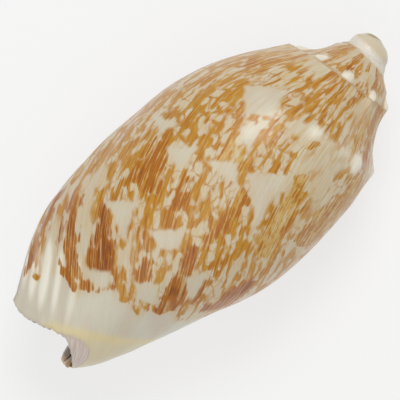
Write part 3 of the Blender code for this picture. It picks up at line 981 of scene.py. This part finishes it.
class GrowthGroups:
    """Node groups that more than one finish uses."""

    def __init__(self) -> None:
        """Build each group once."""
        self.lines = self.growth_lines()
        self.mottle = self.cloudy()

    @staticmethod
    def start(name: str, inputs: Dict[str, Tuple[str, object]], outputs: Dict[str, str]) -> Tuple:
        """Open a new group.

        Args:
            name: Name of the group.
            inputs: Socket type and default value by name.
            outputs: Socket type by name.

        Returns:
            The tree, its Net, its input node and its output node.
        """
        tree = bpy.data.node_groups.new(name, "ShaderNodeTree")
        for label, (kind, value) in inputs.items():
            socket = tree.interface.new_socket(name=label, in_out="INPUT", socket_type=kind)
            if value is not None:
                socket.default_value = value
        for label, kind in outputs.items():
            tree.interface.new_socket(name=label, in_out="OUTPUT", socket_type=kind)
        return tree, Net(tree), tree.nodes.new("NodeGroupInput"), tree.nodes.new("NodeGroupOutput")

    def growth_lines(self) -> bpy.types.NodeTree:
        """Fine lines along old lip edges: streaks for colour and a height for bump."""
        tree, net, given, result = self.start(
            "growth_lines",
            {"Growth": ("NodeSocketVector", None), "Fineness": ("NodeSocketFloat", 2.4)},
            {"Streak": "NodeSocketFloat", "Height": "NodeSocketFloat"})
        inputs = {0: given.outputs["Growth"], 3: given.outputs["Fineness"]}
        scaled = net.node("ShaderNodeVectorMath", inputs, operation="SCALE").outputs[0]
        fine = net.cloud(scaled, (1.0, 0.045, 1.0), detail=3.0, rough=0.6)
        broad = net.cloud(scaled, (0.28, 0.02, 1.0), (7.0, 3.0, 0.0))
        tree.links.new(net.ramp(fine, 0.36, 0.66), result.inputs["Streak"])
        tree.links.new(net.fit(broad, 1.6, net.times(fine, 0.6)), result.inputs["Height"])
        return tree

    def cloudy(self) -> bpy.types.NodeTree:
        """Soft cloudy variation of one colour toward another."""
        tree, net, given, result = self.start(
            "cloudy_colour",
            {"Growth": ("NodeSocketVector", None), "Colour": ("NodeSocketColor", None),
             "Other": ("NodeSocketColor", None), "Amount": ("NodeSocketFloat", 0.5)},
            {"Colour": "NodeSocketColor"})
        cloud = net.cloud(given.outputs["Growth"], (0.13, 0.06, 1.0), detail=3.0, rough=0.55)
        share = net.times(net.ramp(cloud, 0.35, 0.68), given.outputs["Amount"])
        mixed = net.mix(share, given.outputs["Colour"], given.outputs["Other"])
        tree.links.new(mixed, result.inputs["Colour"])
        return tree


class Surface:
    """One material under way: a cloudy ground with fine growth lines, which layers of colour go over."""

    def __init__(self, name: str, groups: GrowthGroups, ground: Rgba, clouds: Rgba, amount: float) -> None:
        """Start a material.

        Args:
            name: Name of the material.
            groups: The shared node groups.
            ground: Triple of the ground.
            clouds: Triple that the ground turns toward in clouds.
            amount: How far it turns.
        """
        self.material, self.shader = new_shader(name)
        self.net = Net(self.material.node_tree)
        self.growth = self.net.field("growth", "Vector")
        lines = self.net.node("ShaderNodeGroup", {"Growth": self.growth}, node_tree=groups.lines)
        self.streak, self.height = lines.outputs["Streak"], lines.outputs["Height"]
        inputs = {"Growth": self.growth, "Colour": ground, "Other": clouds, "Amount": amount}
        self.colour = self.net.node("ShaderNodeGroup", inputs, node_tree=groups.mottle).outputs["Colour"]

    def lay(self, layers: Sequence[Tuple[Socket, object]]) -> None:
        """Lay colours over the ground, each with its share."""
        for share, tint in layers:
            self.colour = self.net.mix(share, self.colour, tint)

    def finish(self, roughness: float, streaked: float, bump: float,
               constants: Dict[str, float]) -> bpy.types.Material:
        """Wire the shader.

        Args:
            roughness: Roughness between the streaks.
            streaked: How much rougher a streak is.
            bump: Strength of the growth lines' relief.
            constants: Values of the shader's other inputs.

        Returns:
            The material.
        """
        relief = {"Strength": bump, "Distance": RELIEF, "Height": self.height}
        wired = {
            "Base Color": self.colour,
            "Roughness": self.net.fit(self.streak, streaked, roughness),
            "Normal": self.net.node("ShaderNodeBump", relief).outputs["Normal"],
        }
        for name, socket in wired.items():
            self.material.node_tree.links.new(socket, self.shader.inputs[name])
        set_inputs(self.shader, constants)
        return self.material


@dataclass(frozen=True)
class PatternFinish:
    """Glossy cream outside with a golden-brown net, streaked brown patches and plain white tents; ridge
    crests and knobs are whitened, partly painted highlight, and grooves and the lip's edge carry painted
    shade.
    """

    cream: Rgba = linear(210, 204, 184)
    rosy_cream: Rgba = linear(206, 193, 172)
    # White of the ridge crests and knobs, partly their own pale colour and partly painted highlight.
    white_and_highlight: Rgba = linear(248, 243, 226)
    # Grey of painted shade, for the grooves between growth lines and the lip's edge.
    painted_shade_grey: Rgba = linear(160, 148, 128)
    gold: Rgba = linear(190, 136, 36)
    brown: Rgba = linear(172, 102, 10)
    dark_brown: Rgba = linear(134, 68, 4)
    tan: Rgba = linear(204, 168, 96)
    rust: Rgba = linear(182, 110, 48)
    wash: Rgba = linear(206, 172, 106)
    seam_white: Rgba = linear(236, 232, 222)
    dome_cream: Rgba = linear(216, 200, 170)
    fasciole_cream: Rgba = linear(222, 206, 158)
    blush_grey: Rgba = linear(196, 176, 164)
    blush_pale: Rgba = linear(226, 214, 204)
    clouds: float = 0.9
    crest_share: float = 0.8
    knob_share: float = 0.75
    lip_shade_share: float = 0.6
    seam_share: float = 0.7
    blush_share: float = 0.9
    fasciole_share: float = 0.95
    break_scale: Triple = (0.42, 0.28, 1.0)
    hatch_scale: Triple = (1.8, 0.1, 1.0)
    drift_scale: Triple = (0.1, 0.08, 1.0)
    grain_scale: Triple = (0.9, 0.4, 1.0)
    rosy_scale: Triple = (0.1, 0.05, 1.0)
    bend_scale: Triple = (0.22, 0.15, 1.0)
    bend_size: Triple = (5.0, 7.0, 0.0)
    wander_scale: Triple = (0.26, 0.07, 1.0)
    cell_width: float = 2.7
    cell_length: float = 4.0
    pale_span: Span = (0.3, 0.8)
    roughness: float = 0.36
    streaked: float = 0.05
    coat: float = 0.32
    coat_roughness: float = 0.18
    shine: float = 0.42
    bump: float = 0.5

    def material(self, groups: GrowthGroups) -> bpy.types.Material:
        """Make the material."""
        surface = Surface("patterned_outside", groups, self.cream, self.rosy_cream, self.clouds)
        net, streak = surface.net, surface.streak
        crest = net.field("crest")
        blush = net.mix(streak, self.blush_grey, self.blush_pale)
        surface.lay((
            (net.times(net.field("fasciole"), self.fasciole_share), self.fasciole_cream),
            # Painted shade: the grooves between the raised growth lines are laid darker grey.
            (net.ramp(crest, 0.0, -1.0), self.painted_shade_grey),
            (net.times(net.field("wash"), net.ramp(streak, 0.0, 1.0, 0.25, 1.0)), self.wash),
            # Ridge crests are whitened, partly worn white and partly painted highlight.
            (net.ramp(crest, 0.15, 1.0, 0.0, self.crest_share), self.white_and_highlight),
            self.brown_parts(net, surface.growth),
            # Knobs are whitened, partly their own pale colour and partly painted highlight, with the painted
            # keel sheen.
            (net.ramp(net.field("knob_white_and_sheen"), 0.0, 1.0, 0.0, self.knob_share), self.white_and_highlight),
            # Painted shade: a grey strip along the lip's edge.
            (net.times(net.field("lip"), self.lip_shade_share), self.painted_shade_grey),
            (net.field("dome"), self.dome_cream),
            (net.times(net.field("seam"), self.seam_share), self.seam_white),
            (net.times(net.field("blush"), self.blush_share), blush),
        ))
        constants = {"Specular IOR Level": self.shine, "Coat Weight": self.coat,
                     "Coat Roughness": self.coat_roughness}
        return surface.finish(self.roughness, self.streaked, self.bump, constants)

    def brown_parts(self, net: Net, growth: Socket) -> Tuple[Socket, Socket]:
        """Lay out the brown patches and the brown net.

        Args:
            net: Where the nodes go.
            growth: Growth coordinate of the skin.

        Returns:
            The share of brown, and its colour.
        """
        pale = net.field("pale")
        breaks = net.cloud(growth, self.break_scale, (3.0, 1.0, 0.0), 1.0)
        hatch = net.ramp(net.cloud(growth, self.hatch_scale, (5.0, 9.0, 0.0), 2.0, 0.6), 0.3, 0.7)
        ragged = net.times(net.fit(hatch, 1.3, -0.65), net.ramp(pale, *self.pale_span, 1.0, 3.2))
        ragged = net.plus(ragged, net.fit(breaks, 8.0, -4.0))
        inside = net.plus(net.field("patch"), ragged)
        thinnest = net.ramp(pale, *self.pale_span, 0.6, 0.15)
        patches = net.times(net.ramp(inside, -0.6, 0.7), net.ramp(hatch, 0.0, 0.5, thinnest, 1.0))

        drift = net.cloud(growth, self.drift_scale, (31.0, 17.0, 0.0))
        cover = net.plus(net.field("net"), net.fit(drift, 1.8, -0.9))
        share = net.math("MAXIMUM", self.net_lines(net, growth, cover, breaks), patches)
        tent = net.plus(net.field("tent"), net.fit(breaks, 1.6, -0.8))
        share = net.times(share, net.ramp(tent, -0.8, 0.5))

        deep = net.plus(net.fit(hatch, 0.9, -0.45), net.field("dark"))
        deep = net.plus(deep, net.ramp(inside, 0.5, 3.0, -0.1, 0.15))
        rosy = net.ramp(net.cloud(growth, self.rosy_scale, (51.0, 3.0, 0.0), 1.0), 0.52, 0.72, 0.0, 0.28)
        rosy = net.math("MAXIMUM", net.math("SUBTRACT", rosy, net.times(pale, 0.5)), 0.0)
        grain = net.cloud(growth, self.grain_scale, (71.0, 23.0, 0.0), 2.0, 0.6)
        lightness = net.plus(net.times(pale, 0.65), net.fit(hatch, -0.5, 0.2))
        lightness = net.plus(lightness, net.fit(grain, 2.0, -0.95))
        tone = net.mix(net.ramp(deep, 0.2, 0.75), self.gold, self.brown)
        tone = net.mix(net.ramp(deep, 0.85, 1.35), tone, self.dark_brown)
        tone = net.mix(rosy, tone, self.rust)
        tone = net.mix(net.ramp(lightness, 0.2, 0.75), tone, self.tan)
        return share, tone

    def net_lines(self, net: Net, growth: Socket, cover: Socket, breaks: Socket) -> Socket:
        """Lay out the brown net: round cells where it is dense, and loose wandering lines between.

        Args:
            net: Where the nodes go.
            growth: Growth coordinate of the skin.
            cover: How dense the net is.
            breaks: Noise that thins and swells its lines.

        Returns:
            The share of brown.
        """
        bend = net.noise(net.stretch(growth, self.bend_scale), 2.0, 0.55).outputs["Color"]
        bend = net.stretch(bend, self.bend_size, tuple(-size / 2 for size in self.bend_size))
        warped = net.node("ShaderNodeVectorMath", {0: bend, 1: growth}, operation="ADD").outputs[0]
        cells = net.stretch(warped, (1 / self.cell_width, 1 / self.cell_length, 0.0))
        inputs = {"Vector": cells, "Scale": 1.0}
        edge, near = (net.node("ShaderNodeTexVoronoi", inputs, voronoi_dimensions="2D", feature=kind)
                      for kind in ("DISTANCE_TO_EDGE", "F1"))
        width = net.times(net.ramp(cover, 0.0, 0.8), net.ramp(breaks, 0.36, 0.6, -0.01, 0.19))
        line = net.math("SUBTRACT", width, edge.outputs["Distance"])
        corner = net.math("SUBTRACT", near.outputs["Distance"], net.ramp(cover, 0.3, 1.2, 0.95, 0.6))
        line = net.ramp(net.math("MAXIMUM", line, corner), -0.13, 0.13)
        line = net.times(line, net.ramp(cover, 0.0, 0.2))

        wander = net.cloud(growth, self.wander_scale, (11.0, 5.0, 0.0))
        off = net.math("ABSOLUTE", net.math("SUBTRACT", wander, 0.5))
        width = net.ramp(breaks, 0.3, 0.55, 0.0, 0.07)
        loose = net.ramp(net.math("SUBTRACT", width, off), -0.04, 0.03)
        return net.math("MAXIMUM", line, net.times(loose, net.ramp(cover, -0.3, 0.1)))


@dataclass(frozen=True)
class MouthFinish:
    """Smooth peach-cream glaze of the mouth, deeper in colour inside, with painted shade grey deep in the
    anterior notch.
    """

    edge: Rgba = linear(222, 208, 186)
    peach: Rgba = linear(232, 200, 168)
    deep: Rgba = linear(208, 166, 120)
    notch_shade_grey: Rgba = linear(132, 122, 114)
    clouds: float = 0.5
    roughness: float = 0.2
    streaked: float = 0.04
    coat: float = 0.3
    bump: float = 0.12

    def material(self, groups: GrowthGroups) -> bpy.types.Material:
        """Make the material."""
        surface = Surface("mouth_glaze", groups, self.edge, self.peach, self.clouds)
        net = surface.net
        # Painted shade: the inside of the anterior notch is laid grey.
        surface.lay(((net.field("deep"), self.deep), (net.field("notch"), self.notch_shade_grey)))
        return surface.finish(self.roughness, self.streaked, self.bump, {"Coat Weight": self.coat})


@dataclass
class VoluteShell:
    """The shell: its fine skin, its markings and its finishes."""

    skin: ShellSkin = field(default_factory=ShellSkin)
    markings: Markings = field(default_factory=Markings)
    outside: PatternFinish = PatternFinish()
    mouth: MouthFinish = MouthFinish()
    placing: Matrix = field(default_factory=Matrix)
    deep_inner: Span = (1.02, 1.5)
    deep_outer: Span = (0.06, 0.5)
    outer_turns: float = 0.9
    crest_height: float = 0.35
    crest_turns: float = 0.5
    crest_levels: Span = (94.0, 103.0)
    notch_depths: Tuple[Span, Span] = ((88.0, 94.0), (97.0, 98.0))
    notch_shade_share: float = 0.9
    crease: float = math.radians(50.0)

    def build(self) -> bpy.types.Object:
        """Make the shell's object in place of the solid."""
        self.skin.build()
        points, self.placing = self.skin.placed(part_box("shell"))
        data = bpy.data.meshes.new("volute_shell")
        data.from_pydata(points.tolist(), [], self.skin.faces)
        data.polygons.foreach_set("material_index", self.skin.zones)
        self.paint(data)
        self.close(data)
        groups = GrowthGroups()
        data.materials.append(self.outside.material(groups))
        data.materials.append(self.mouth.material(groups))
        piece = new_object("volute_shell", data)
        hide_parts("shell")
        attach(piece, "root")
        return piece

    def paint(self, data: bpy.types.Mesh) -> None:
        """Keep the growth coordinate and the fields of the markings on the mesh."""
        form = self.skin.form
        turns, _, depths = self.skin.points()
        level = form.level_of(turns, depths)
        grown = form.grown(turns, level)
        fields = self.markings.fields(turns, level, depths, form)
        outer = smooth(*self.deep_outer, turns) * (turns < self.outer_turns)
        fields["deep"] = smooth(*self.deep_inner, turns) + outer
        # Crest field: above zero it whitens the ridge crests, partly worn white and partly painted highlight;
        # below zero it lays painted shade in the grooves.
        crest = form.growth_lines(turns, depths) / self.crest_height
        fields["crest"] = crest * (turns < self.crest_turns) * smooth(*self.crest_levels, level)
        # Painted shade inside the anterior notch, between the given depths.
        rise, fade = self.notch_depths
        fields["notch"] = smooth(*rise, depths) * (1 - smooth(*fade, depths)) * self.notch_shade_share
        for name, values in fields.items():
            layer = data.attributes.new(name, "FLOAT", "POINT")
            layer.data.foreach_set("value", values.astype(np.float32))
        growth = np.stack([self.markings.round_length * grown, level, np.zeros_like(level)], 1)
        layer = data.attributes.new("growth", "FLOAT_VECTOR", "POINT")
        layer.data.foreach_set("vector", growth.astype(np.float32).ravel())

    def close(self, data: bpy.types.Mesh) -> None:
        """Wear the flats that the shell rests on, and turn every face out."""
        solid = bmesh.new()
        solid.from_mesh(data)
        loose = [vertex for vertex in solid.verts if not vertex.link_faces]
        bmesh.ops.delete(solid, geom=loose, context="VERTS")
        bmesh.ops.recalc_face_normals(solid, faces=solid.faces)
        everything = solid.verts[:] + solid.edges[:] + solid.faces[:]
        worn = bmesh.ops.bisect_plane(solid, geom=everything, dist=1e-7, plane_co=(0, 0, 0),
                                      plane_no=(0, 0, -1), clear_outer=True)
        rims = [item for item in worn["geom_cut"] if isinstance(item, bmesh.types.BMEdge)]
        bmesh.ops.holes_fill(solid, edges=rims, sides=0)
        bmesh.ops.recalc_face_normals(solid, faces=solid.faces)
        bmesh.ops.triangulate(solid, faces=[face for face in solid.faces if len(face.verts) > 4])
        solid.to_mesh(data)
        solid.free()
        data.shade_smooth()
        data.set_sharp_from_angle(angle=self.crease)


@dataclass(frozen=True)
class Lamp:
    """A soft square lamp, placed in metres from the point looked at."""

    name: str
    back: float
    up: float
    side: float
    size: float
    power: float


@dataclass
class Studio:
    """Plain pale floor, soft light and the camera of the photograph."""

    view_turn: float = 0.376
    aim_side: float = -4.05
    aim_depth: float = 52.15
    image_width: float = 0.0883
    lens: float = 250.0
    sensor: float = 36.0
    floor_size: float = 6.0
    white: Rgba = (1.0, 1.0, 1.0, 1.0)
    floor_grey: Rgba = (0.25, 0.25, 0.25, 1.0)
    floor_glow: float = 0.675
    surroundings: float = 0.37
    lamps: Tuple[Lamp, ...] = (
        Lamp("key", 0.62, 0.45, 0.04, 0.36, 2.75),
        Lamp("fill", 0.75, -0.35, -0.15, 0.9, 2.4),
    )

    def floor(self) -> None:
        """Lay the floor."""
        bpy.ops.mesh.primitive_plane_add(size=self.floor_size, location=(0.0, 0.0, 0.0))
        plane = bpy.context.object
        plane.name = "studio_floor"
        made, shader = new_shader("studio_floor")
        set_inputs(shader, {"Base Color": self.floor_grey, "Roughness": 0.9, "Specular IOR Level": 0.1,
                            "Emission Color": self.white, "Emission Strength": self.floor_glow})
        plane.data.materials.append(made)

    def axes(self, placing: Matrix) -> Tuple[Vector, Vector, Vector, Vector]:
        """Find how the photograph looks at the shell.

        Args:
            placing: Turn and shift from the upright shell to the floor.

        Returns:
            The point looked at, and the directions toward the camera, up and right in the picture.
        """
        angle = 2 * math.pi * self.view_turn
        toward = Vector((math.cos(angle), math.sin(angle), 0.0))
        right = Vector((-math.sin(angle), math.cos(angle), 0.0))
        apex = Vector((0.0, 0.0, 1.0))
        aim = placing @ (MM * (right * self.aim_side - apex * self.aim_depth))
        turn = placing.to_3x3()
        back = (turn @ toward).normalized()
        up = (turn @ (apex - right)).normalized()
        return aim, back, up, up.cross(back).normalized()

    def camera(self, placing: Matrix) -> None:
        """Look at the shell as the photograph does."""
        aim, back, up, side = self.axes(placing)
        lens = bpy.data.cameras.new("camera")
        lens.lens = self.lens
        lens.sensor_width = self.sensor
        distance = self.lens / lens.sensor_width * self.image_width
        holder = new_object("camera", lens)
        facing = Matrix((side, up, back)).transposed().to_4x4()
        holder.matrix_world = Matrix.Translation(aim + back * distance) @ facing
        lens.clip_start = 0.01
        bpy.context.scene.camera = holder

    def light(self, placing: Matrix) -> None:
        """Hang the lamps, facing the shell, and set the pale surroundings and the plain view of colours."""
        aim, back, up, side = self.axes(placing)
        for lamp in self.lamps:
            light = bpy.data.lights.new(lamp.name, "AREA")
            light.shape = "SQUARE"
            light.size = lamp.size
            light.energy = lamp.power
            holder = new_object(lamp.name, light)
            holder.location = aim + back * lamp.back + up * lamp.up + side * lamp.side
            holder.rotation_euler = (aim - holder.location).to_track_quat("-Z", "Y").to_euler()
        world = bpy.data.worlds.new("surroundings")
        world.use_nodes = True
        background = world.node_tree.nodes["Background"]
        set_inputs(background, {"Color": self.white, "Strength": self.surroundings})
        bpy.context.scene.world = world
        bpy.context.scene.view_settings.view_transform = "Standard"
        bpy.context.scene.view_settings.look = "None"


def main() -> None:
    """Build the shell and the studio, and keep the sizes of both models."""
    logging.basicConfig(level=logging.INFO, format="%(message)s")
    log = logging.getLogger("volute_shell")
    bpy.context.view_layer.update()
    shell = VoluteShell()
    piece = shell.build()
    log.info("%s: %d faces", piece.name, len(piece.data.polygons))
    studio = Studio()
    studio.floor()
    studio.light(shell.placing)
    studio.camera(shell.placing)
    place = bpy.context.scene.camera.location
    log.info("studio: camera at %s", tuple(round(value, 3) for value in place))


if __name__ == "__main__":
    main()
